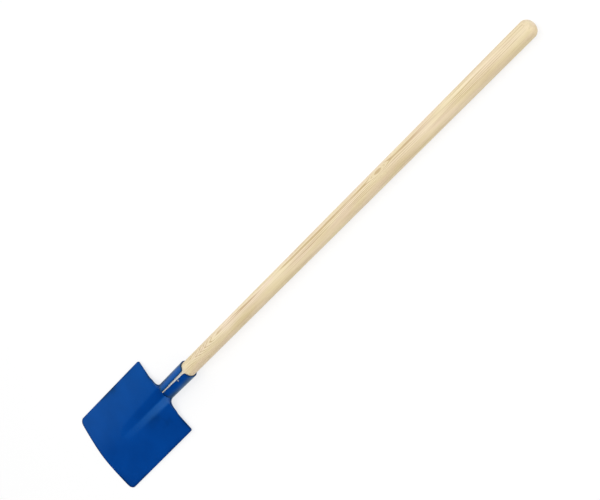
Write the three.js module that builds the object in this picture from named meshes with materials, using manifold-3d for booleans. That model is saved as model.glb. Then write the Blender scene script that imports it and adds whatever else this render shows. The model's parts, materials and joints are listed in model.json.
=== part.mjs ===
// A children's spade with a long shaft, lying with the front of its blade down.
// The blade and its socket are one blank of sheet steel: dished, creased by a V groove down the back,
// and rolled at the neck into a socket whose seam stays open. A round wooden shaft sits in the socket,
// and one nail through the right flap, beside the seam, holds it there.
// Millimetres. While it is built, +X runs up the shaft from the lower edge of the socket's flaps,
// the shaft's axis is the line y = z = 0, and +Z points out of the spade's back.
import * as THREE from 'three';
import { mergeGeometries, mergeVertices } from 'three/addons/utils/BufferGeometryUtils.js';
import Module from 'manifold-3d';

// Shaft
const SHAFT_DIAMETER = 22;
const SHAFT_LENGTH = 681;
const SHAFT_PROUD = 1; // how far its lower end stands out below the flaps' lower edges
const SHAFT_CHAMFER = 1; // round the lower end
const END_DOME = 9; // length of the rounded upper end
const END_FLAT = 4; // diameter of the flat left on its tip

// Sheet and socket
const SHEET = 1.5;
const FIT_GAP = 0.3; // between pieces that touch
const SOCKET_LENGTH = 51;
const MOUTH_FLARE = 0.4; // how much wider the socket's radius is at its mouth
const SEAM_AT_MOUTH = 3.9; // width of the open seam
const SEAM_AT_NECK = 1.4;
const MOUTH_CORNER = 4; // radius of the flaps' upper corners at the seam
const FOOT_CORNER = 2; // radius of their lower corners
const NECK_WRAP = THREE.MathUtils.degToRad(95); // how far round the shaft the neck reaches each side
const FLAP_FILLET = 2.5; // radius from the neck into the flaps' lower edges
const SHOULDER_FILLET = 18.25; // length of the fillets from the neck into the shoulders
const SHOULDER_FILLET_WIDTH = 15; // how far they reach across

// Blade
const BLADE_LENGTH = 159.5; // from the shoulders to the corners of the digging edge
const SHOULDER_WIDTH = 122;
const EDGE_WIDTH = 126.5;
const EDGE_BOW = 2.4; // how far the middle of the digging edge stands out
const EDGE_CORNER = 8;
const SHOULDER_CORNER = 3;
const DISH = 5.3; // how far the blade's sides lie in front of its middle
const DISH_BEND = 22; // how far the bend between its two flatter sides reaches from the middle
const CRANK = 4; // how far the groove's floor steps forward below the socket
const LIFT = THREE.MathUtils.degToRad(2); // forward lean of the blade
const GROOVE_LENGTH = 108;
const GROOVE_TIP = 24; // length of the rounded lower end, within the groove's length
const GROOVE_WIDTH = 29;
const GROOVE_TIP_WIDTH = 25;
const GROOVE_DEPTH = 6.5;
const GROOVE_TIP_DEPTH = 0.8; // it shoals in a curve on its way there
const FLOOR_BEND = 2.2; // half width of the rounding along the groove's floor
const BRINK_BEND = 4; // width of the rounding along each side of the groove

// Nail
const NAIL_SHANK = 1.5;
const NAIL_LENGTH = 18; // under its head
const NAIL_POINT = 3;
const NAIL_HEAD = 3.2;
const NAIL_HEAD_HEIGHT = 1;
const NAIL_RIM = 0.4; // straight side of the head, under its dome
const NAIL_BELOW_MOUTH = 16;
const NAIL_HOLE_MARGIN = 0.7; // sheet left between the nail's hole and the seam

// Facets
const ROUND_SEGMENTS = 48;
const NAIL_SEGMENTS = 16;
const ARC_STEPS = 6;
const CORE_COLUMNS = 15;
const WING_COLUMNS = 4;
const FLAP_COLUMNS = 4;
const PLAIN_ROWS = 6; // below the groove
const TIP_ROWS = 9; // in the groove's rounded end
const GROOVE_ROWS = 9; // from there to the shoulders
const SOCKET_ROWS = 6;

// Steps of the sheet's section
const GIRTH_STEP = 0.5;
const SLOPE_SPAN = 0.05;
const SOLVE_ROUNDS = 4;

const { lerp, clamp, mapLinear, smoothstep } = THREE.MathUtils;
const wasm = await Module();
wasm.setup();

const shaftRadius = SHAFT_DIAMETER / 2;
const tipX = SHAFT_LENGTH - SHAFT_PROUD;
const notchX = -FLAP_FILLET;
const shoulderX = notchX - SHOULDER_FILLET;
const edgeX = shoulderX - BLADE_LENGTH;
const grooveEndX = shoulderX - GROOVE_LENGTH;
const grooveTipX = grooveEndX + GROOVE_TIP;
const nailX = SOCKET_LENGTH - NAIL_BELOW_MOUTH;
const nailBore = NAIL_SHANK / 2 + FIT_GAP;

// A rounded corner: how far a border falls back, 'inset' before the corner's end, on a given radius.
function cornerDrop(inset, radius) {
  const reach = clamp(radius - inset, 0, radius);
  return radius - Math.sqrt(radius ** 2 - reach ** 2);
}

const evenSteps = (count) => Array.from({ length: count + 1 }, (_, i) => i / count);
const span = (from, to, count) => evenSteps(count).map((step) => lerp(from, to, step));
const quarterTurn = evenSteps(ARC_STEPS).map((step) => (step * Math.PI) / 2);

// Columns of a strip that ends with a rounded corner, close where it turns.
function stripColumns(start, end, corner, plainSteps) {
  const turned = quarterTurn.map((turn) => end - corner * (1 - Math.sin(turn)));
  return [...span(start, end - corner, plainSteps), ...turned.slice(1)];
}

// The socket: the middle of its sheet is a slightly tapered tube round the shaft.
function tubeRadius(x) {
  return shaftRadius + FIT_GAP + SHEET / 2 + MOUTH_FLARE * clamp(x / SOCKET_LENGTH, 0, 1);
}

const seamWidth = (x) => lerp(SEAM_AT_NECK, SEAM_AT_MOUTH, x / SOCKET_LENGTH);

// The blade: the middle of its sheet is a height over the plan.
const halfWidth = (x) => lerp(SHOULDER_WIDTH, EDGE_WIDTH, (shoulderX - x) / BLADE_LENGTH) / 2;

function grooveDrop(x, y) {
  const along = clamp((shoulderX - x) / GROOVE_LENGTH, 0, 1);
  const intoTip = clamp((grooveTipX - x) / GROOVE_TIP, 0, 1);
  const fade = Math.sqrt(1 - intoTip ** 2);
  if (fade === 0) return 0;
  const depth = lerp(GROOVE_TIP_DEPTH, GROOVE_DEPTH, (1 - along) ** 2) * fade ** 2;
  const half = (lerp(GROOVE_WIDTH, GROOVE_TIP_WIDTH, along) / 2) * fade;
  const floorBend = FLOOR_BEND * fade;
  const brinkBend = BRINK_BEND * fade;
  const slope = depth / (half - (floorBend + brinkBend) / 2);
  const side = Math.abs(y);
  if (side < floorBend) return depth - (slope * side ** 2) / (2 * floorBend);
  if (side < half - brinkBend) return depth - slope * (side - floorBend / 2);
  return (slope * Math.max(half - side, 0) ** 2) / (2 * brinkBend);
}

// The dish is a rounded ridge with a flatter side to its left and right.
function dishDrop(x, y) {
  const bendTo = (distance) => Math.hypot(distance, DISH_BEND) - DISH_BEND;
  return (DISH * bendTo(y)) / bendTo(halfWidth(x));
}

function bladeHeight(x, y) {
  const ridge = GROOVE_DEPTH - CRANK - tubeRadius(0);
  const lean = (x - shoulderX) * Math.tan(LIFT);
  return ridge + lean - dishDrop(x, y) - grooveDrop(x, y);
}

function bladeSlope(x, y) {
  const rise = bladeHeight(x, y + SLOPE_SPAN) - bladeHeight(x, y - SLOPE_SPAN);
  return Math.atan2(rise, 2 * SLOPE_SPAN);
}

// A point in the middle of the sheet, by its place along the shaft and its girth: the distance from the
// middle line, measured along the sheet. Between the shoulders and the narrowest place of the neck the
// sheet rolls up from the blade's section into the socket's.
function sheetPoint(x, girth) {
  const roll = smoothstep(x, shoulderX, notchX);
  const radius = tubeRadius(x);
  const steps = Math.ceil(girth / GIRTH_STEP);
  const step = girth / steps;
  const point = new THREE.Vector3(x, 0, lerp(bladeHeight(x, 0), -radius, roll));
  for (let i = 0; i < steps; i += 1) {
    const turn = ((i + 0.5) * step) / radius;
    const slope = lerp(bladeSlope(x, point.y + step / 2), turn, roll);
    point.y += step * Math.cos(slope);
    point.z += step * Math.sin(slope);
  }
  return point;
}

// The sheet's borders, as girths. The core is the sheet's middle: it is drawn in by the shoulders' fillets to
// the narrowest place of the neck, and widens again by the flaps' fillets.
const neckGirth = tubeRadius(0) * NECK_WRAP;
const wingStart = neckGirth + SHOULDER_FILLET_WIDTH;
const flapStart = neckGirth + FLAP_FILLET;

function coreGirth(x) {
  const toShoulder = cornerDrop(x - shoulderX, SHOULDER_FILLET) / SHOULDER_FILLET;
  return neckGirth + toShoulder * SHOULDER_FILLET_WIDTH + cornerDrop(-x, FLAP_FILLET);
}

const seamGirth = (x) => Math.PI * tubeRadius(x) - seamWidth(x) / 2;

function sideGirth(x) {
  let girth = halfWidth(x);
  for (let i = 0; i < SOLVE_ROUNDS; i += 1) {
    girth += halfWidth(x) - sheetPoint(x, girth).y;
  }
  return girth;
}

const seamAtFoot = seamGirth(0);
const sideAtShoulder = sideGirth(shoulderX);

// Rows lie square across the shaft, apart from those that bow with the digging edge and those that end on
// rounded corners: these two give a point's true place along the shaft from its row and its girth.
function alongBlade(row, girth) {
  const inset = sideAtShoulder - girth;
  const bow = EDGE_BOW * (1 - (girth / sideAtShoulder) ** 2);
  const toEdge = clamp((shoulderX - row) / BLADE_LENGTH, 0, 1);
  return row + lerp(-cornerDrop(inset, SHOULDER_CORNER), cornerDrop(inset, EDGE_CORNER) - bow, toEdge);
}

function alongFlap(row, girth) {
  const inset = seamAtFoot - girth;
  const toMouth = row / SOCKET_LENGTH;
  return row + lerp(cornerDrop(inset, FOOT_CORNER), -cornerDrop(inset, MOUTH_CORNER), toMouth);
}

const bladeRows = [
  ...span(edgeX, grooveEndX, PLAIN_ROWS),
  ...span(grooveEndX, grooveTipX, TIP_ROWS).slice(1),
  ...span(grooveTipX, shoulderX, GROOVE_ROWS).slice(1),
];
const neckRows = quarterTurn.map((turn) => shoulderX + SHOULDER_FILLET * (1 - Math.cos(turn)));
const throatRows = quarterTurn.map((turn) => notchX + FLAP_FILLET * Math.sin(turn));
const socketRows = span(0, SOCKET_LENGTH, SOCKET_ROWS);
const coreRows = [...bladeRows, ...neckRows.slice(1), ...throatRows.slice(1), ...socketRows.slice(1)];

// One strip of the sheet, from a function that gives each point. Each cell is split along its shorter
// diagonal.
function strip(rows, columns, pointAt) {
  const points = [];
  const index = [];
  columns.forEach((column, i) => {
    rows.forEach((row, j) => {
      points.push(pointAt(row, column));
      if (i === 0 || j === 0) return;
      const [c, d] = [points.length - 1, points.length - 2];
      const [b, a] = [c - rows.length, d - rows.length];
      const plain = points[a].distanceTo(points[c]) < points[b].distanceTo(points[d]);
      index.push(...(plain ? [a, b, c, a, c, d] : [a, b, d, b, c, d]));
    });
  });
  return new THREE.BufferGeometry().setFromPoints(points).setIndex(index);
}

function corePoint(row, share) {
  const girth = share * coreGirth(row);
  return sheetPoint(alongBlade(row, girth), girth);
}

function wingPoint(row, girth) {
  const x = alongBlade(row, girth);
  return sheetPoint(x, mapLinear(girth, wingStart, sideAtShoulder, wingStart, sideGirth(x)));
}

function flapPoint(row, girth) {
  const x = alongFlap(row, girth);
  return sheetPoint(x, mapLinear(girth, flapStart, seamAtFoot, flapStart, seamGirth(x)));
}

// Half of the sheet is three strips: the core from the digging edge to the socket's mouth, the wing that
// makes the blade's side, and the flap that closes the socket.
function halfSheet() {
  const wingColumns = stripColumns(wingStart, sideAtShoulder, EDGE_CORNER, WING_COLUMNS);
  const flapColumns = stripColumns(flapStart, seamAtFoot, MOUTH_CORNER, FLAP_COLUMNS);
  return mergeGeometries([
    strip(coreRows, evenSteps(CORE_COLUMNS), corePoint),
    strip(bladeRows, wingColumns, wingPoint),
    strip(socketRows, flapColumns, flapPoint),
  ]);
}

// The mirrored copy keeps its faces the right way out by turning each triangle round.
function mirrored(geometry) {
  const copy = geometry.clone().scale(1, -1, 1);
  const index = copy.getIndex();
  for (let i = 0; i < index.count; i += 3) {
    const second = index.getX(i + 1);
    index.setX(i + 1, index.getX(i + 2));
    index.setX(i + 2, second);
  }
  return copy;
}

// Gives an open sheet its thickness, half to each side, and closes it along its border.
function thickened(sheet, thickness) {
  sheet.computeVertexNormals();
  const place = sheet.getAttribute('position');
  const normal = sheet.getAttribute('normal');
  const index = Array.from(sheet.getIndex().array);
  const count = place.count;
  const positions = [];
  [thickness / 2, -thickness / 2].forEach((offset) => {
    for (let i = 0; i < count; i += 1) {
      const point = new THREE.Vector3().fromBufferAttribute(place, i);
      const out = new THREE.Vector3().fromBufferAttribute(normal, i);
      positions.push(...point.addScaledVector(out, offset));
    }
  });
  const triangles = [...index];
  const edges = new Set();
  for (let i = 0; i < index.length; i += 3) {
    const [a, b, c] = index.slice(i, i + 3);
    triangles.push(a + count, c + count, b + count);
    [[a, b], [b, c], [c, a]].forEach(([from, to]) => edges.add(`${from} ${to}`));
  }
  edges.forEach((edge) => {
    const [from, to] = edge.split(' ').map(Number);
    if (edges.has(`${to} ${from}`)) return;
    triangles.push(from, from + count, to + count, from, to + count, to);
  });
  const geometry = new THREE.BufferGeometry();
  geometry.setAttribute('position', new THREE.Float32BufferAttribute(positions, 3));
  geometry.setIndex(triangles);
  return geometry;
}

// A turned piece along +X or +Z, from a profile of radius and distance along its axis.
const profile = (points) => points.map(([radius, along]) => new THREE.Vector2(radius, along));
const turnedAlongX = (points) => new THREE.LatheGeometry(profile(points), ROUND_SEGMENTS)
  .rotateZ(-Math.PI / 2);
const turnedAlongZ = (points) => new THREE.LatheGeometry(profile(points), NAIL_SEGMENTS)
  .rotateX(Math.PI / 2);

// Joins and cuts work on closed meshes that carry positions only.
function asSolid(geometry) {
  const bare = geometry.clone();
  bare.deleteAttribute('normal');
  bare.deleteAttribute('uv');
  const welded = mergeVertices(bare);
  return new wasm.Manifold(new wasm.Mesh({
    numProp: 3,
    vertProperties: new Float32Array(welded.getAttribute('position').array),
    triVerts: new Uint32Array(welded.getIndex().array),
  }));
}

function asGeometry(solid) {
  const mesh = solid.getMesh();
  const geometry = new THREE.BufferGeometry();
  geometry.setAttribute('position', new THREE.Float32BufferAttribute(mesh.vertProperties, mesh.numProp));
  geometry.setIndex(Array.from(mesh.triVerts));
  return geometry;
}

// The nail points at the shaft's axis, turned from the seam far enough to leave its hole a margin.
// Its head lies on the flap, and one hole for its shank goes through the flap and into the wood.
const headZ = tubeRadius(nailX) + SHEET / 2 + FIT_GAP;
const nailTipZ = headZ - NAIL_LENGTH;
const nailTurn = (seamWidth(nailX) / 2 + NAIL_HOLE_MARGIN + nailBore) / tubeRadius(nailX);
const placedNail = (points) => turnedAlongZ(points).translate(nailX, 0, 0).rotateX(nailTurn);

function drilled(geometry) {
  const foot = nailTipZ - FIT_GAP;
  const hole = [[0, foot], [nailBore, foot + NAIL_POINT], [nailBore, headZ], [0, headZ]];
  return asGeometry(asSolid(geometry).subtract(asSolid(placedNail(hole))));
}

function nailGeometry() {
  const shank = NAIL_SHANK / 2;
  const head = NAIL_HEAD / 2;
  const dome = NAIL_HEAD_HEIGHT - NAIL_RIM;
  const points = [[0, nailTipZ], [shank, nailTipZ + NAIL_POINT], [shank, headZ], [head, headZ]];
  quarterTurn.forEach((turn) => {
    points.push([head * Math.cos(turn), headZ + NAIL_RIM + dome * Math.sin(turn)]);
  });
  points[points.length - 1][0] = 0;
  return placedNail(points);
}

function bladeGeometry() {
  const half = halfSheet();
  const sheet = mergeVertices(mergeGeometries([half, mirrored(half)]));
  return drilled(thickened(sheet, SHEET));
}

function shaftGeometry() {
  const flat = END_FLAT / 2;
  const lastTurn = Math.acos(flat / shaftRadius);
  const domeX = tipX - END_DOME * Math.sin(lastTurn);
  const points = [
    [0, -SHAFT_PROUD],
    [shaftRadius - SHAFT_CHAMFER, -SHAFT_PROUD],
    [shaftRadius, SHAFT_CHAMFER - SHAFT_PROUD],
  ];
  evenSteps(2 * ARC_STEPS).forEach((step) => {
    const turn = step * lastTurn;
    points.push([shaftRadius * Math.cos(turn), domeX + END_DOME * Math.sin(turn)]);
  });
  points.push([0, tipX]);
  return drilled(turnedAlongX(points));
}

function piece(name, geometry, look) {
  const mesh = new THREE.Mesh(geometry, new THREE.MeshStandardMaterial(look));
  mesh.name = name;
  return mesh;
}

const blade = piece('blade', bladeGeometry(), { color: 0x0a4a96, roughness: 0.35, metalness: 0 });
const handle = piece('handle', shaftGeometry(), { color: 0xe4d2ac, roughness: 0.6, metalness: 0 });
const nail = piece('nail', nailGeometry(), { color: 0xb4b8bc, roughness: 0.35, metalness: 1 });

// The spade rests on its digging edge's corners and on the shaft's upper end: the tilt that makes
// the line under both level is the steepest one from any point of the blade.
function restingTilt() {
  const place = blade.geometry.getAttribute('position');
  const restX = tipX - END_DOME;
  let tilt = 0;
  for (let i = 0; i < place.count; i += 1) {
    tilt = Math.max(tilt, Math.atan2(-shaftRadius - place.getZ(i), restX - place.getX(i)));
  }
  return tilt;
}

const tool = new THREE.Group();
tool.add(blade, handle, nail);
tool.rotation.y = restingTilt();

// The origin is under the middle of the spade, on the ground.
const bounds = new THREE.Box3().setFromObject(tool, true);
const middle = bounds.getCenter(new THREE.Vector3());
tool.position.set(-middle.x, -middle.y, -bounds.min.z);

const spade = new THREE.Group();
spade.add(tool);

export default spade;
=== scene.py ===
import json
from math import acos, atan2, ceil, cos, exp, hypot, pi, radians, sin, sqrt, tan

import bmesh
import bpy
from mathutils import Matrix, Quaternion, Vector
from mathutils.kdtree import KDTree


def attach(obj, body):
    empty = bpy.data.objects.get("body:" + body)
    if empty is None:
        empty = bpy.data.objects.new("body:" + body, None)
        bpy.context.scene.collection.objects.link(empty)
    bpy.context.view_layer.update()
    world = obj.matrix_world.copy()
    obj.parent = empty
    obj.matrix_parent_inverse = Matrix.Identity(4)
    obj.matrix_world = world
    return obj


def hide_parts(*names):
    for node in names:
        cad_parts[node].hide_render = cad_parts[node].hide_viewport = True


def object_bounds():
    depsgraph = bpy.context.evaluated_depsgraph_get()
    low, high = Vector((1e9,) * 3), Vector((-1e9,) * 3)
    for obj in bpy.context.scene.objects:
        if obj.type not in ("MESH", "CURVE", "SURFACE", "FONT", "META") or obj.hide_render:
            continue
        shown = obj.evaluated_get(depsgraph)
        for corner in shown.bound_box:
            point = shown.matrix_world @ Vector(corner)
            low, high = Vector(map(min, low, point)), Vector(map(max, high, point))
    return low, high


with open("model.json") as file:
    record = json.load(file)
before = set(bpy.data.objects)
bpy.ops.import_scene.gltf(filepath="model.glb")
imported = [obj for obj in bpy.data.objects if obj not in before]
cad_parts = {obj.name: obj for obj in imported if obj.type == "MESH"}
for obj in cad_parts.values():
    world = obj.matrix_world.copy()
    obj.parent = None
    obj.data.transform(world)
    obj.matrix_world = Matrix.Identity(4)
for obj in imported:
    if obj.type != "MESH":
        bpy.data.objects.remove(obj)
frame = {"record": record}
cad_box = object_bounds()

# Blade and socket: one blank of sheet steel, dished, creased by a V groove down its back and rolled at the
# neck into a socket whose seam stays open, then enamelled blue, with painted shade darkening its cut edges,
# where the enamel also pools, and the socket's flanks.
# The blank is laid out as flat strips, and every point of it is bent to the section that the sheet has there.
SHAFT_RADIUS = 0.011
SHAFT_PROUD = 0.001
SHAFT_LENGTH = 0.681
FIT_GAP = 0.0003
SHEET = 0.0015
SOCKET_LENGTH = 0.051
MOUTH_FLARE = 0.0004
SEAM_AT_MOUTH = 0.0039
SEAM_AT_NECK = 0.0014
MOUTH_CORNER = 0.004
FOOT_CORNER = 0.002
NECK_WRAP = radians(95)
FLAP_FILLET = 0.0025
SHOULDER_FILLET = 0.01825
SHOULDER_FILLET_WIDTH = 0.015
BLADE_LENGTH = 0.1595
SHOULDER_WIDTH = 0.122
EDGE_WIDTH = 0.1265
EDGE_BOW = 0.0024
EDGE_CORNER = 0.008
SHOULDER_CORNER = 0.003
DISH = 0.0053
DISH_BEND = 0.022
CRANK = 0.004
LIFT = radians(2)
GROOVE_LENGTH = 0.108
GROOVE_TIP = 0.024
GROOVE_WIDTH = 0.029
GROOVE_TIP_WIDTH = 0.025
GROOVE_DEPTH = 0.0065
GROOVE_TIP_DEPTH = 0.0008
FLOOR_BEND = 0.0022
BRINK_BEND = 0.004

# Places along the shaft's axis, measured from the lower edges of the flaps towards the end of the shaft
NOTCH_X = -FLAP_FILLET
SHOULDER_X = NOTCH_X - SHOULDER_FILLET
EDGE_X = SHOULDER_X - BLADE_LENGTH
GROOVE_END_X = SHOULDER_X - GROOVE_LENGTH
GROOVE_TIP_X = GROOVE_END_X + GROOVE_TIP
SHAFT_TIP_X = SHAFT_LENGTH - SHAFT_PROUD

# How finely the sheet is bent and laid out
GIRTH_STEP = 0.001
SLOPE_SPAN = 0.00005
SOLVE_ROUNDS = 3
EDGE_ROWS = 16
GROOVE_TIP_ROWS = 24
GROOVE_ROWS = 28
NECK_ROWS = 14
THROAT_ROWS = 8
SOCKET_ROWS = 20
CORE_COLUMNS = 36
WING_COLUMNS = 10
FLAP_COLUMNS = 8
GRID_HALF = 0.5
MERGE_DISTANCE = 1e-6


def clamp(value, low=0.0, high=1.0):
    return min(max(value, low), high)


def lerp(start, end, share):
    return start + (end - start) * share


def eased(share):
    """A share from 0 to 1 that sets off and arrives gently."""
    return share * share * (3 - 2 * share)


def span(start, end, steps):
    return [lerp(start, end, i / steps) for i in range(steps + 1)]


def corner_drop(inset, radius):
    """How far a border falls back on a rounded corner, at an inset from the corner's end."""
    reach = clamp(radius - inset, 0, radius)
    return radius - sqrt(radius**2 - reach**2)


def tube_radius(x):
    return SHAFT_RADIUS + FIT_GAP + SHEET / 2 + MOUTH_FLARE * clamp(x / SOCKET_LENGTH)


def half_width(x):
    return lerp(SHOULDER_WIDTH, EDGE_WIDTH, (SHOULDER_X - x) / BLADE_LENGTH) / 2


def groove_drop(x, y):
    """Depth of the V groove: flat walls, rounded along the floor and along both brinks, and a round tip."""
    along = clamp((SHOULDER_X - x) / GROOVE_LENGTH)
    fade = sqrt(1 - clamp((GROOVE_TIP_X - x) / GROOVE_TIP) ** 2)
    if fade == 0:
        return 0.0
    depth = lerp(GROOVE_TIP_DEPTH, GROOVE_DEPTH, (1 - along) ** 2) * fade**2
    half = lerp(GROOVE_WIDTH, GROOVE_TIP_WIDTH, along) / 2 * fade
    floor_bend = FLOOR_BEND * fade
    brink_bend = BRINK_BEND * fade
    slope = depth / (half - (floor_bend + brink_bend) / 2)
    side = abs(y)
    if side < floor_bend:
        return depth - slope * side**2 / (2 * floor_bend)
    if side < half - brink_bend:
        return depth - slope * (side - floor_bend / 2)
    return slope * max(half - side, 0) ** 2 / (2 * brink_bend)


def dish_rise(distance):
    """The dish's rise at a distance from the middle line: round at first, then almost straight."""
    return hypot(distance, DISH_BEND) - DISH_BEND


def blade_height(x, y):
    ridge = GROOVE_DEPTH - CRANK - tube_radius(0)
    lean = (x - SHOULDER_X) * tan(LIFT)
    return ridge + lean - DISH * dish_rise(y) / dish_rise(half_width(x)) - groove_drop(x, y)


def sheet_point(x, girth):
    """The middle of the sheet at a place along the shaft and a girth, measured along the sheet from its
    middle line. From the shoulders to the notch the blade's section rolls up into the socket's."""
    roll = eased(clamp((x - SHOULDER_X) / (NOTCH_X - SHOULDER_X)))
    radius = tube_radius(x)
    y = 0.0
    z = lerp(blade_height(x, 0), -radius, roll)
    steps = max(ceil(girth / GIRTH_STEP), 1)
    step = girth / steps
    for i in range(steps):
        middle = y + step / 2
        rise = blade_height(x, middle + SLOPE_SPAN) - blade_height(x, middle - SLOPE_SPAN)
        turn = (i + 0.5) * step / radius
        slope = lerp(atan2(rise, 2 * SLOPE_SPAN), turn, roll)
        y += step * cos(slope)
        z += step * sin(slope)
    return Vector((x, y, z))


def seam_width(x):
    return lerp(SEAM_AT_NECK, SEAM_AT_MOUTH, x / SOCKET_LENGTH)


def seam_girth(x):
    return pi * tube_radius(x) - seam_width(x) / 2


def side_girth(x):
    """The girth at which the dished sheet reaches the blade's side."""
    girth = half_width(x)
    for _ in range(SOLVE_ROUNDS):
        girth += half_width(x) - sheet_point(x, girth).y
    return girth


NECK_GIRTH = tube_radius(0) * NECK_WRAP
WING_START = NECK_GIRTH + SHOULDER_FILLET_WIDTH
FLAP_START = NECK_GIRTH + FLAP_FILLET
SIDE_AT_SHOULDER = side_girth(SHOULDER_X)
SEAM_AT_FOOT = seam_girth(0)


def along_blade(row, girth):
    """A point's true place along the shaft, from its row: rows bow with the digging edge and end on the
    rounded corners."""
    inset = SIDE_AT_SHOULDER - girth
    bow = EDGE_BOW * (1 - (girth / SIDE_AT_SHOULDER) ** 2)
    to_edge = clamp((SHOULDER_X - row) / BLADE_LENGTH)
    return row + lerp(-corner_drop(inset, SHOULDER_CORNER), corner_drop(inset, EDGE_CORNER) - bow, to_edge)


def core_point(row, share):
    """A point of the strip down the middle, which widens on the fillets to the shoulders and the flaps."""
    to_shoulder = corner_drop(row - SHOULDER_X, SHOULDER_FILLET) / SHOULDER_FILLET
    girth = NECK_GIRTH + to_shoulder * SHOULDER_FILLET_WIDTH + corner_drop(-row, FLAP_FILLET)
    return sheet_point(along_blade(row, share * girth), share * girth)


def wing_point(row, girth):
    """A point of the blade outside the middle strip, out to its side."""
    x = along_blade(row, girth)
    share = (girth - WING_START) / (SIDE_AT_SHOULDER - WING_START)
    return sheet_point(x, lerp(WING_START, side_girth(x), share))


def flap_point(row, girth):
    """A point of a flap, which is rolled over the shaft as far as the seam."""
    inset = SEAM_AT_FOOT - girth
    x = row + lerp(corner_drop(inset, FOOT_CORNER), -corner_drop(inset, MOUTH_CORNER), row / SOCKET_LENGTH)
    share = (girth - FLAP_START) / (SEAM_AT_FOOT - FLAP_START)
    return sheet_point(x, lerp(FLAP_START, seam_girth(x), share))


def add_strip(sheet, rows, columns, point_at):
    """Lays a flat grid, 1 wide each way, into the sheet and bends each of its points into place."""
    row_steps = len(rows) - 1
    column_steps = len(columns) - 1
    grid = bmesh.ops.create_grid(sheet, x_segments=row_steps, y_segments=column_steps, size=GRID_HALF)
    for vert in grid["verts"]:
        row = rows[round((vert.co.x + GRID_HALF) * row_steps)]
        column = columns[round((vert.co.y + GRID_HALF) * column_steps)]
        vert.co = point_at(row, column)


def to_rounded_end(start, end, corner, steps):
    """Columns up to a rounded corner, and as many closer ones round it."""
    round_corner = [end - corner * (1 - sin(turn)) for turn in span(0, pi / 2, steps)]
    return span(start, end - corner, steps) + round_corner[1:]


end_mount = frame["record"]["mounts"][0]
shaft_axis = Vector(end_mount["axis"])
spade_place = Matrix.Translation(Vector(end_mount["pos_m"]) - shaft_axis * SHAFT_TIP_X)
spade_place @= shaft_axis.to_track_quat("X", "Z").to_matrix().to_4x4()


def finished_piece(name, mesh_in_work, body="root"):
    """Puts a piece that was worked along the shaft's axis where the spade lies, and makes its object."""
    bmesh.ops.transform(mesh_in_work, matrix=spade_place, verts=mesh_in_work.verts)
    mesh = bpy.data.meshes.new(name)
    mesh_in_work.to_mesh(mesh)
    mesh_in_work.free()
    mesh.polygons.foreach_set("use_smooth", [True] * len(mesh.polygons))
    piece = bpy.data.objects.new(name, mesh)
    bpy.context.scene.collection.objects.link(piece)
    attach(piece, body)
    return piece


blade_rows = (
    span(EDGE_X, GROOVE_END_X, EDGE_ROWS)
    + span(GROOVE_END_X, GROOVE_TIP_X, GROOVE_TIP_ROWS)[1:]
    + span(GROOVE_TIP_X, SHOULDER_X, GROOVE_ROWS)[1:]
)
neck_rows = [SHOULDER_X + SHOULDER_FILLET * (1 - cos(turn)) for turn in span(0, pi / 2, NECK_ROWS)]
throat_rows = [NOTCH_X + FLAP_FILLET * sin(turn) for turn in span(0, pi / 2, THROAT_ROWS)]
socket_rows = span(0, SOCKET_LENGTH, SOCKET_ROWS)
core_columns = span(0, 1, CORE_COLUMNS)
wing_columns = to_rounded_end(WING_START, SIDE_AT_SHOULDER, EDGE_CORNER, WING_COLUMNS)
flap_columns = to_rounded_end(FLAP_START, SEAM_AT_FOOT, MOUTH_CORNER, FLAP_COLUMNS)

sheet = bmesh.new()
for core_rows in (blade_rows, neck_rows, throat_rows, socket_rows):
    add_strip(sheet, core_rows, core_columns, core_point)
add_strip(sheet, blade_rows, wing_columns, wing_point)
add_strip(sheet, socket_rows, flap_columns, flap_point)
bmesh.ops.mirror(sheet, geom=sheet.verts[:] + sheet.edges[:] + sheet.faces[:], axis="Y", merge_dist=-1)
bmesh.ops.remove_doubles(sheet, verts=sheet.verts, dist=MERGE_DISTANCE)
bmesh.ops.recalc_face_normals(sheet, faces=sheet.faces)

# Painted shade: a darkening along the cut edges, where the enamel also pools, and down the upright flanks
# of the socket, which face sideways
RIM_FADE = 0.0025
FLANK_START = 0.45
FLANK_FULL = 0.95
pooled_paint_and_shade = sheet.verts.layers.float.new("pooled_paint_and_shade")
border = [vert.co.copy() for vert in sheet.verts if vert.is_boundary]
nearest_border = KDTree(len(border))
for i, border_point in enumerate(border):
    nearest_border.insert(border_point, i)
nearest_border.balance()
sheet.normal_update()
for vert in sheet.verts:
    _, _, to_border = nearest_border.find(vert.co)
    at_rim = exp(-to_border / RIM_FADE)
    flank_shade = clamp((abs(vert.normal.y) - FLANK_START) / (FLANK_FULL - FLANK_START))
    vert[pooled_paint_and_shade] = max(at_rim, eased(flank_shade))

SHEET_EDGE_ROUND = 0.00025
SHEET_EDGE_ANGLE = radians(60)
EDGE_ROUND_STEPS = 2


def round_edges(piece, width, angle):
    """Rounds those edges of a piece that turn by more than an angle."""
    rounding = piece.modifiers.new("rounded_edges", "BEVEL")
    rounding.width = width
    rounding.segments = EDGE_ROUND_STEPS
    rounding.limit_method = "ANGLE"
    rounding.angle_limit = angle
    rounding.harden_normals = True


blade = finished_piece("spade_blade", sheet)
wall = blade.modifiers.new("sheet_thickness", "SOLIDIFY")
wall.thickness = SHEET
wall.offset = 0
wall.use_even_offset = True
round_edges(blade, SHEET_EDGE_ROUND, SHEET_EDGE_ANGLE)
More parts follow.
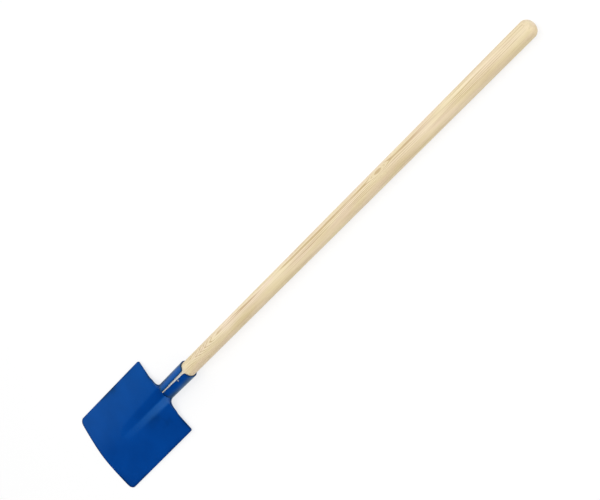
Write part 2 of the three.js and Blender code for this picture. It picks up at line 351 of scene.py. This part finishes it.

# Satin blue enamel. The blues run from dark to light, the dark end carrying the painted shade of the edges
# and flanks, and the counts are waves of a pattern in a metre
ENAMEL_BLUES = [
    (0.0, (0.0003, 0.0170, 0.100)),
    (0.35, (0.0006, 0.051, 0.296)),
    (0.70, (0.0008, 0.0612, 0.345)),
]
SHADE_AND_POOL_DARKENING = 0.45
CLOUD_COUNT = 26.0
CLOUD_DETAIL = 3.0
HAZE_COUNT = 60.0
HAZE_DETAIL = 4.0
HAZE_ROUGHNESS = (0.27, 0.39)
ENAMEL_METALLIC = 0.15
ENAMEL_SPECULAR = 0.36
ENAMEL_SPECULAR_TINT = (0.0, 1.0, 1.0, 1.0)
PEEL_COUNT = 420.0
PEEL_DETAIL = 1.0
PEEL_STRENGTH = 0.06
PEEL_DEPTH = 0.0004


def add_node(tree, kind, inputs, **settings):
    """Adds a node. An input is a plain value, or the output of another node."""
    node = tree.nodes.new("ShaderNode" + kind)
    for name, value in settings.items():
        setattr(node, name, value)
    for name, value in inputs.items():
        if isinstance(value, bpy.types.NodeSocket):
            tree.links.new(value, node.inputs[name])
        else:
            node.inputs[name].default_value = value
    return node


def add_math(tree, operation, first, *others):
    """One operation on a first value and each of the others in turn, such as the sum of them all."""
    for other in others or (0.0,):
        first = add_node(tree, "Math", {0: first, 1: other}, operation=operation).outputs[0]
    return first


def add_range(tree, value, low, high, start=0.0, end=1.0, curve="LINEAR"):
    """Maps a value that goes from start to end to one that goes from low to high, and stays there."""
    inputs = {"Value": value, "From Min": start, "From Max": end, "To Min": low, "To Max": high}
    return add_node(tree, "MapRange", inputs, interpolation_type=curve).outputs[0]


def add_colours(tree, factor, stops):
    """A run of colours along a factor: each stop is a place from 0 to 1 and a colour."""
    ramp = add_node(tree, "ValToRGB", {"Fac": factor})
    elements = ramp.color_ramp.elements
    while len(elements) < len(stops):
        elements.new(1.0)
    for element, (position, colour) in zip(elements, stops):
        element.position = position
        element.color = (*colour, 1.0)
    return ramp.outputs["Color"]


def add_noise(tree, place, scale, detail=2.0, roughness=0.5):
    inputs = {"Vector": place, "Scale": scale, "Detail": detail, "Roughness": roughness}
    return add_node(tree, "TexNoise", inputs).outputs["Fac"]


def start_material(name):
    material = bpy.data.materials.new(name)
    material.use_nodes = True
    tree = material.node_tree
    place = add_node(tree, "TexCoord", {}).outputs["Object"]
    return material, tree, tree.nodes["Principled BSDF"], place


enamel, tree, shader, place = start_material("blue_enamel")
cloud = add_noise(tree, place, CLOUD_COUNT, CLOUD_DETAIL)
# Painted shade: the blue is darkened along the cut edges, where enamel also pools, and on the socket's flanks
shade_and_pool_share = add_node(tree, "Attribute", {}, attribute_name="pooled_paint_and_shade").outputs["Fac"]
shade_and_pool_darkening = add_math(tree, "MULTIPLY", shade_and_pool_share, SHADE_AND_POOL_DARKENING)
blue_lightness = add_math(tree, "SUBTRACT", cloud, shade_and_pool_darkening)
tree.links.new(add_colours(tree, blue_lightness, ENAMEL_BLUES), shader.inputs["Base Color"])
haze = add_noise(tree, place, HAZE_COUNT, HAZE_DETAIL)
tree.links.new(add_range(tree, haze, *HAZE_ROUGHNESS), shader.inputs["Roughness"])
shader.inputs["Metallic"].default_value = ENAMEL_METALLIC
shader.inputs["Specular IOR Level"].default_value = ENAMEL_SPECULAR
shader.inputs["Specular Tint"].default_value = ENAMEL_SPECULAR_TINT
peel = add_noise(tree, place, PEEL_COUNT, PEEL_DETAIL)
peel_bump = add_node(tree, "Bump", {"Height": peel, "Strength": PEEL_STRENGTH, "Distance": PEEL_DEPTH})
tree.links.new(peel_bump.outputs["Normal"], shader.inputs["Normal"])
blade.data.materials.append(enamel)
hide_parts("blade")

# Shaft: a round stick of pale, unpainted wood, turned to a rounded end and pushed into the socket until
# its sawn end stands just below the flaps. Its growth rings run along it as streaks, come to the surface
# as nested flames just above the socket, and bend round one small knot higher up.
SHAFT_CHAMFER = 0.001
END_DOME = 0.009
END_FLAT_RADIUS = 0.002
SHAFT_SIDES = 96
DOME_STEPS = 16
SHAFT_EDGE_ROUND = 0.0004
SHAFT_EDGE_ANGLE = radians(25)

last_turn = acos(END_FLAT_RADIUS / SHAFT_RADIUS)
dome_x = SHAFT_TIP_X - END_DOME * sin(last_turn)
shaft_outline = [(-SHAFT_PROUD, 0), (-SHAFT_PROUD, SHAFT_RADIUS - SHAFT_CHAMFER)]
shaft_outline.append((SHAFT_CHAMFER - SHAFT_PROUD, SHAFT_RADIUS))
for turn in span(0, last_turn, DOME_STEPS):
    shaft_outline.append((dome_x + END_DOME * sin(turn), SHAFT_RADIUS * cos(turn)))
shaft_outline.append((SHAFT_TIP_X, 0))


def turned(outline, axis, sides):
    """Spins an outline of places along an axis and radii into a closed turned piece."""
    work = bmesh.new()
    across = axis.orthogonal().normalized()
    points = [work.verts.new(axis * along + across * radius) for along, radius in outline]
    edges = [work.edges.new(pair) for pair in zip(points, points[1:])]
    bmesh.ops.spin(
        work, geom=points + edges, axis=axis, cent=(0, 0, 0), angle=2 * pi, steps=sides, use_merge=True
    )
    bmesh.ops.remove_doubles(work, verts=work.verts, dist=MERGE_DISTANCE)
    bmesh.ops.recalc_face_normals(work, faces=work.faces)
    return work


shaft = finished_piece("wooden_shaft", turned(shaft_outline, Vector((1, 0, 0)), SHAFT_SIDES))
round_edges(shaft, SHAFT_EDGE_ROUND, SHAFT_EDGE_ANGLE)


def add_stretched_noise(tree, place, stretch, detail=2.0, roughness=0.5):
    """Noise that is drawn out along the shaft: the stretch is how often it changes in a metre each way."""
    drawn = add_node(tree, "VectorMath", {0: place, 1: stretch}, operation="MULTIPLY").outputs[0]
    return add_noise(tree, drawn, scale=1.0, detail=detail, roughness=roughness)


def add_share(tree, value, start, end, low=0.0, high=1.0):
    """Maps a value between two places to a smooth share."""
    return add_range(tree, value, low, high, start, end, "SMOOTHSTEP")


def add_mix(tree, share, first, second):
    """A value that goes from the first to the second as the share grows."""
    return add_node(tree, "Mix", {0: share, 2: first, 3: second}, data_type="FLOAT").outputs[0]


def add_colour_mix(tree, share, first, second, blend):
    """A colour blended from two. The node takes its colours at 6 and 7, and its plain values at 2 and 3."""
    inputs = {0: share, 6: first, 7: second}
    return add_node(tree, "Mix", inputs, data_type="RGBA", blend_type=blend).outputs[2]


wood, tree, shader, place = start_material("bare_wood")
along_shaft = add_node(
    tree,
    "Mapping",
    {"Vector": place, "Location": spade_place.translation, "Rotation": spade_place.to_euler()},
    vector_type="TEXTURE",
).outputs[0]
along, across, up = add_node(tree, "SeparateXYZ", {0: along_shaft}).outputs

# The way from the pith to the bark, which twists a little along the shaft, and the way beside it
RING_TURN = radians(25)
TURN_AT_SOCKET = radians(14)
TWIST_REACH = (0.080, 0.170)
ring_turn = add_share(tree, along, *TWIST_REACH, TURN_AT_SOCKET, RING_TURN)
turn_sine = add_math(tree, "SINE", ring_turn)
turn_cosine = add_math(tree, "COSINE", ring_turn)
to_bark = add_math(
    tree,
    "ADD",
    add_math(tree, "MULTIPLY", across, turn_sine),
    add_math(tree, "MULTIPLY", up, turn_cosine),
)
sideways = add_math(
    tree,
    "SUBTRACT",
    add_math(tree, "MULTIPLY", across, turn_cosine),
    add_math(tree, "MULTIPLY", up, turn_sine),
)

# One small knot on the bark side
KNOT_X = 0.445
KNOT_SIDE = 0.0006
KNOT_HALF_LENGTH = 0.012
KNOT_HALF_WIDTH = 0.0052
KNOT_DEPTH = (0.0, 0.004)
past_knot = add_math(tree, "SUBTRACT", along, KNOT_X)
knot_along = add_math(tree, "DIVIDE", past_knot, KNOT_HALF_LENGTH)
knot_across = add_math(tree, "DIVIDE", add_math(tree, "SUBTRACT", sideways, KNOT_SIDE), KNOT_HALF_WIDTH)
knot_distance = add_math(
    tree,
    "ADD",
    add_math(tree, "MULTIPLY", knot_along, knot_along),
    add_math(tree, "MULTIPLY", knot_across, knot_across),
)
knot = add_math(tree, "EXPONENT", add_math(tree, "MULTIPLY", knot_distance, -1.0))
knot = add_math(tree, "MULTIPLY", knot, add_share(tree, to_bark, *KNOT_DEPTH))

# Growth rings: arcs round a far pith, creased in the middle, that run out to the surface as flames above
# the socket, lift round the knot, and wander a little
RING_WIDTH = 0.00095
PITH_DISTANCE = 0.045
RING_CREASE = 0.20
CREASE_ROUND = 0.0003
FLAME_REACH = (0.062, 0.134)
FLAME_RISE = 0.0048
KNOT_RISE = 0.0024
WANDER_STRETCH = (6.0, 150.0, 150.0)
WANDER_DEPTH = 0.0025
WAVER_STRETCH = (40.0, 260.0, 260.0)
WAVER_DEPTH = 0.0003
side_squared = add_math(tree, "MULTIPLY", sideways, sideways)
arc = add_math(tree, "MULTIPLY", side_squared, 1 / (2 * PITH_DISTANCE))
crease = add_math(tree, "SQRT", add_math(tree, "ADD", side_squared, CREASE_ROUND**2))
crease = add_math(tree, "MULTIPLY", crease, RING_CREASE)
wander = add_stretched_noise(tree, along_shaft, WANDER_STRETCH)
waver = add_stretched_noise(tree, along_shaft, WAVER_STRETCH)
ring_place = add_math(
    tree,
    "ADD",
    add_math(tree, "SUBTRACT", add_math(tree, "ADD", to_bark, arc), crease),
    add_share(tree, along, *FLAME_REACH, 0.0, FLAME_RISE),
    add_math(tree, "MULTIPLY", knot, KNOT_RISE),
    add_math(tree, "MULTIPLY", wander, WANDER_DEPTH),
    add_math(tree, "MULTIPLY", waver, WAVER_DEPTH),
)
ring_count = add_math(tree, "DIVIDE", ring_place, RING_WIDTH)
ring_share = add_math(tree, "FRACT", ring_count)
ring_number = add_math(tree, "FLOOR", ring_count)

# The dark late wood of each ring: a thin, clear line in the flames and near the knot, a broad and soft one
# elsewhere, and fainter towards the pith, inside the knot and inside the socket
FLAMES_FADE_IN = (0.052, 0.068)
FLAMES_FADE_OUT = (0.115, 0.150)
KNOT_SURROUNDINGS = (0.02, 0.10)
THIN_LINES_AT_KNOT = 0.7
BROAD_LINE_START = 0.30
THIN_LINE_START = 0.56
LINE_FULL = 0.86
LINE_END = (0.90, 1.0)
RING_STRENGTH = (0.3, 1.0)
PITH_TO_BARK = (0.001, 0.009)
STRENGTH_TO_BARK = (0.3, 0.65)
PATCH_STRETCH = (11.0, 110.0, 110.0)
PATCH_EDGE = (0.40, 0.60)
PATCH_STRENGTH = (0.4, 1.5)
THIN_LINE_STRENGTH = 2.1
KNOT_RIM = (0.6, 0.85)
STRENGTH_IN_KNOT = 0.1
SAWN_END = (0.0005, -0.0005)
SOCKET_MOUTH = (0.050, 0.068)
STRENGTH_IN_SOCKET = 0.4
into_flames = add_share(tree, along, *FLAMES_FADE_IN)
past_flames = add_share(tree, along, *FLAMES_FADE_OUT, 1.0, 0.0)
flame_zone = add_math(tree, "MULTIPLY", into_flames, past_flames)
from_knot = add_math(tree, "ABSOLUTE", past_knot)
knot_zone = add_share(tree, from_knot, *KNOT_SURROUNDINGS, THIN_LINES_AT_KNOT, 0.0)
thin_lines = add_math(tree, "MAXIMUM", flame_zone, knot_zone)
line_start = add_share(tree, thin_lines, 0.0, 1.0, BROAD_LINE_START, THIN_LINE_START)
late_wood = add_math(
    tree,
    "MULTIPLY",
    add_share(tree, ring_share, line_start, LINE_FULL),
    add_share(tree, ring_share, *LINE_END, 1.0, 0.0),
)
ring_chance = add_node(tree, "TexWhiteNoise", {"W": ring_number}, noise_dimensions="1D").outputs["Value"]
patch = add_stretched_noise(tree, along_shaft, PATCH_STRETCH)
patch_strength = add_share(tree, patch, *PATCH_EDGE, *PATCH_STRENGTH)
sawn_end = add_share(tree, along, *SAWN_END)
clear_of_socket = add_share(tree, along, *SOCKET_MOUTH, STRENGTH_IN_SOCKET, 1.0)
ring_line = add_math(
    tree,
    "MULTIPLY",
    late_wood,
    add_range(tree, ring_chance, *RING_STRENGTH),
    add_share(tree, to_bark, *PITH_TO_BARK, *STRENGTH_TO_BARK),
    add_mix(tree, thin_lines, patch_strength, THIN_LINE_STRENGTH),
    add_share(tree, knot, *KNOT_RIM, 1.0, STRENGTH_IN_KNOT),
    add_math(tree, "ADD", clear_of_socket, sawn_end),
)

# Fibres, streaks, the knot's core and the end grain are added to the lines
NOISE_MIDDLE = 0.5
FIBRE_STRETCH = (14.0, 1400.0, 1400.0)
FIBRE_DETAIL = 3.0
FIBRE_ROUGHNESS = 0.6
FIBRE_DARKNESS = 0.55
STREAK_STRETCH = (10.0, 170.0, 170.0)
STREAK_DETAIL = 3.0
STREAK_DARKNESS = 1.2
KNOT_CORE = (0.70, 0.93)
KNOT_DARKNESS = 0.6
END_GRAIN_DARKNESS = 0.3
PLAIN_DARKNESS = 0.20
fibre = add_stretched_noise(tree, along_shaft, FIBRE_STRETCH, FIBRE_DETAIL, FIBRE_ROUGHNESS)
streak = add_stretched_noise(tree, along_shaft, STREAK_STRETCH, STREAK_DETAIL)
darkness = add_math(
    tree,
    "ADD",
    ring_line,
    add_math(tree, "MULTIPLY", add_math(tree, "SUBTRACT", fibre, NOISE_MIDDLE), FIBRE_DARKNESS),
    add_math(tree, "MULTIPLY", add_math(tree, "SUBTRACT", streak, NOISE_MIDDLE), STREAK_DARKNESS),
    add_share(tree, knot, *KNOT_CORE, 0.0, KNOT_DARKNESS),
    add_math(tree, "MULTIPLY", sawn_end, END_GRAIN_DARKNESS),
    PLAIN_DARKNESS,
)

# Colour: pale to dark wood, in patches that are a little yellower or pinker, painted paler and greyer inside
# the socket as light on the wood in the seam, and warmer on the -Y side as painted shade
WOOD_COLOURS = [(0.0, (0.84, 0.73, 0.55)), (0.35, (0.75, 0.64, 0.445)), (1.0, (0.54, 0.41, 0.235))]
TINT_STRETCH = (22.0, 120.0, 120.0)
TINTS = [(0.35, (1.0, 0.99, 0.90)), (0.65, (1.0, 0.955, 0.97))]
INTO_SOCKET = (0.055, 0.040)
PAST_SOCKET = (0.0, 0.004)
SEAM_LIGHT_WOOD = (0.82, 0.80, 0.74, 1.0)
WARM_SHADE_SIDE = (0.002, -0.006)
WARM_SHADE_TINTS = [(0.0, (1.0, 1.0, 1.0)), (1.0, (1.0, 0.98, 0.92))]
WOOD_ROUGHNESS = 0.55
WOOD_SPECULAR = 0.3
GRAIN_STRENGTH = 0.12
GRAIN_DEPTH = 0.0002
grain = add_colours(tree, darkness, WOOD_COLOURS)
tint = add_colours(tree, add_stretched_noise(tree, along_shaft, TINT_STRETCH), TINTS)
tinted = add_colour_mix(tree, 1.0, grain, tint, "MULTIPLY")
# Painted light: the wood inside the socket is made paler and greyer, so that the seam shows it as if lit
seam_light_share = add_math(
    tree, "MULTIPLY", add_share(tree, along, *INTO_SOCKET), add_share(tree, along, *PAST_SOCKET)
)
seam_lit_colour = add_colour_mix(tree, seam_light_share, tinted, SEAM_LIGHT_WOOD, "MIX")
# Painted shade: the -Y side of the shaft is tinted warmer and a little darker, the look of its shaded side
warm_shade = add_colours(tree, add_share(tree, across, *WARM_SHADE_SIDE), WARM_SHADE_TINTS)
wood_colour = add_colour_mix(tree, 1.0, seam_lit_colour, warm_shade, "MULTIPLY")
tree.links.new(wood_colour, shader.inputs["Base Color"])
shader.inputs["Roughness"].default_value = WOOD_ROUGHNESS
shader.inputs["Specular IOR Level"].default_value = WOOD_SPECULAR
grain_bump = add_node(
    tree, "Bump", {"Height": darkness, "Strength": GRAIN_STRENGTH, "Distance": GRAIN_DEPTH}
)
tree.links.new(grain_bump.outputs["Normal"], shader.inputs["Normal"])
shaft.data.materials.append(wood)
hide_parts("handle")

# Nail: a small round-head steel nail, zinc coated, driven through the right flap beside the seam and on
# into the shaft, until its head lies on the flap.
NAIL_BELOW_MOUTH = 0.016
NAIL_HOLE_MARGIN = 0.0007
NAIL_SHANK_RADIUS = 0.00075
NAIL_LENGTH = 0.018
NAIL_POINT = 0.003
NAIL_HEAD_RADIUS = 0.0016
NAIL_HEAD_HEIGHT = 0.001
NAIL_RIM = 0.0004
NAIL_SIDES = 32
NAIL_HEAD_STEPS = 8

nail_x = SOCKET_LENGTH - NAIL_BELOW_MOUTH
nail_from_seam = seam_width(nail_x) / 2 + NAIL_HOLE_MARGIN + NAIL_SHANK_RADIUS + FIT_GAP
nail_turn = nail_from_seam / tube_radius(nail_x)
head_z = tube_radius(nail_x) + SHEET / 2 + FIT_GAP
tip_z = head_z - NAIL_LENGTH
nail_outline = [(tip_z, 0), (tip_z + NAIL_POINT, NAIL_SHANK_RADIUS), (head_z, NAIL_SHANK_RADIUS)]
nail_outline.append((head_z, NAIL_HEAD_RADIUS))
for turn in span(0, pi / 2, NAIL_HEAD_STEPS):
    rise = NAIL_RIM + (NAIL_HEAD_HEIGHT - NAIL_RIM) * sin(turn)
    nail_outline.append((head_z + rise, NAIL_HEAD_RADIUS * cos(turn)))
nail_work = turned(nail_outline, Vector((0, 0, 1)), NAIL_SIDES)
nail_place = Matrix.Translation((nail_x, 0, 0)) @ Matrix.Rotation(nail_turn, 4, "X")
bmesh.ops.transform(nail_work, matrix=nail_place, verts=nail_work.verts)
nail = finished_piece("round_head_nail", nail_work)

ZINC_GREYS = [(0.3, (0.21, 0.27, 0.35)), (0.7, (0.36, 0.44, 0.54))]
ZINC_ROUGHNESS = 0.45
SPANGLE_COUNT = 900.0
SPANGLE_DETAIL = 2.0
zinc, tree, shader, place = start_material("nail_zinc")
spangle = add_noise(tree, place, SPANGLE_COUNT, SPANGLE_DETAIL)
tree.links.new(add_colours(tree, spangle, ZINC_GREYS), shader.inputs["Base Color"])
shader.inputs["Metallic"].default_value = 1.0
shader.inputs["Roughness"].default_value = ZINC_ROUGHNESS
nail.data.materials.append(zinc)
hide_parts("nail")

# Stage: a plain white floor under the spade, soft studio light from above and all round, which is brightest
# beyond the blade's left side and dim beyond its right, and the camera of the photograph.
FLOOR_REACH = 30.0
FLOOR_GAP = 0.0005
FLOOR_PAPER = (0.92, 0.92, 0.92, 1)
FLOOR_GLOW = 1.05
FLOOR_GLOW_SHARE = 0.72
WHITE = (1, 1, 1, 1)

floor_work = bmesh.new()
bmesh.ops.create_grid(floor_work, x_segments=1, y_segments=1, size=FLOOR_REACH)
bmesh.ops.translate(floor_work, vec=(0, 0, cad_box[0].z - FLOOR_GAP), verts=floor_work.verts)
floor_mesh = bpy.data.meshes.new("floor")
floor_work.to_mesh(floor_mesh)
floor_work.free()
floor = bpy.data.objects.new("floor", floor_mesh)
bpy.context.scene.collection.objects.link(floor)

floor_white = bpy.data.materials.new("floor_white")
floor_white.use_nodes = True
tree = floor_white.node_tree
tree.nodes.clear()
paper = add_node(tree, "BsdfDiffuse", {"Color": FLOOR_PAPER}).outputs[0]
glow = add_node(tree, "Emission", {"Color": WHITE, "Strength": FLOOR_GLOW}).outputs[0]
rays = add_node(tree, "LightPath", {}).outputs
seen = add_math(
    tree, "MAXIMUM", rays["Is Camera Ray"], rays["Is Glossy Ray"], rays["Is Transmission Ray"]
)
glow_share = add_math(tree, "MULTIPLY", seen, FLOOR_GLOW_SHARE)
floor_surface = add_node(tree, "MixShader", {0: glow_share, 1: paper, 2: glow}).outputs[0]
add_node(tree, "OutputMaterial", {"Surface": floor_surface})
floor_mesh.materials.append(floor_white)

# Soft light from all round: its level changes across the spade, in one way beyond the blade and in another
# beyond the end of the shaft, and is even near the horizon
BLADE_TO_SHAFT = (-0.45, 0.25)
ACROSS_AT_BLADE = (0.08, 0.6)
LEVELS_AT_BLADE = (0.05, 1.25)
ACROSS_AT_SHAFT = (-0.7, 0.7)
LEVELS_AT_SHAFT = (1.0, 0.65)
HORIZON = (0.08, 0.2)
HORIZON_LEVEL = 1.0
world = bpy.data.worlds.new("soft_studio")
world.use_nodes = True
tree = world.node_tree
direction = add_node(tree, "TexCoord", {}).outputs["Generated"]
towards_x, towards_y, towards_z = add_node(tree, "SeparateXYZ", {0: direction}).outputs
blade_level = add_share(tree, towards_y, *ACROSS_AT_BLADE, *LEVELS_AT_BLADE)
shaft_level = add_range(tree, towards_y, *LEVELS_AT_SHAFT, *ACROSS_AT_SHAFT)
level = add_mix(tree, add_share(tree, towards_x, *BLADE_TO_SHAFT), blade_level, shaft_level)
level = add_mix(tree, add_share(tree, towards_z, *HORIZON), HORIZON_LEVEL, level)
background = tree.nodes["Background"]
tree.links.new(level, background.inputs["Strength"])
background.inputs["Color"].default_value = WHITE
bpy.context.scene.world = world

KEY_SIZE = 1.1
KEY_POWER = 12
KEY_PLACE = Vector((0.35, 0.15, 1.5))
key_light = bpy.data.lights.new("key", "AREA")
key_light.shape = "SQUARE"
key_light.size = KEY_SIZE
key_light.energy = KEY_POWER
key = bpy.data.objects.new("key", key_light)
key.location = KEY_PLACE
key.rotation_mode = "QUATERNION"
key.rotation_quaternion = (-KEY_PLACE).to_track_quat("-Z", "Y")
bpy.context.scene.collection.objects.link(key)

CAMERA_PLACE = Vector((0.63804, -0.20064, 1.05929))
CAMERA_AIM = Vector((0.04794, 0.00647, 0.01507))
CAMERA_ROLL = radians(113.0764)
CAMERA_LENS = 60
CAMERA_SENSOR = 36
camera_lens = bpy.data.cameras.new("camera")
camera_lens.lens = CAMERA_LENS
camera_lens.sensor_width = CAMERA_SENSOR
camera = bpy.data.objects.new("camera", camera_lens)
camera.location = CAMERA_PLACE
camera.rotation_mode = "QUATERNION"
level_view = (CAMERA_AIM - CAMERA_PLACE).to_track_quat("-Z", "Y")
camera.rotation_quaternion = level_view @ Quaternion((0, 0, 1), -CAMERA_ROLL)
bpy.context.scene.collection.objects.link(camera)
bpy.context.scene.camera = camera
bpy.context.scene.view_settings.view_transform = "Standard"

bpy.context.view_layer.update()
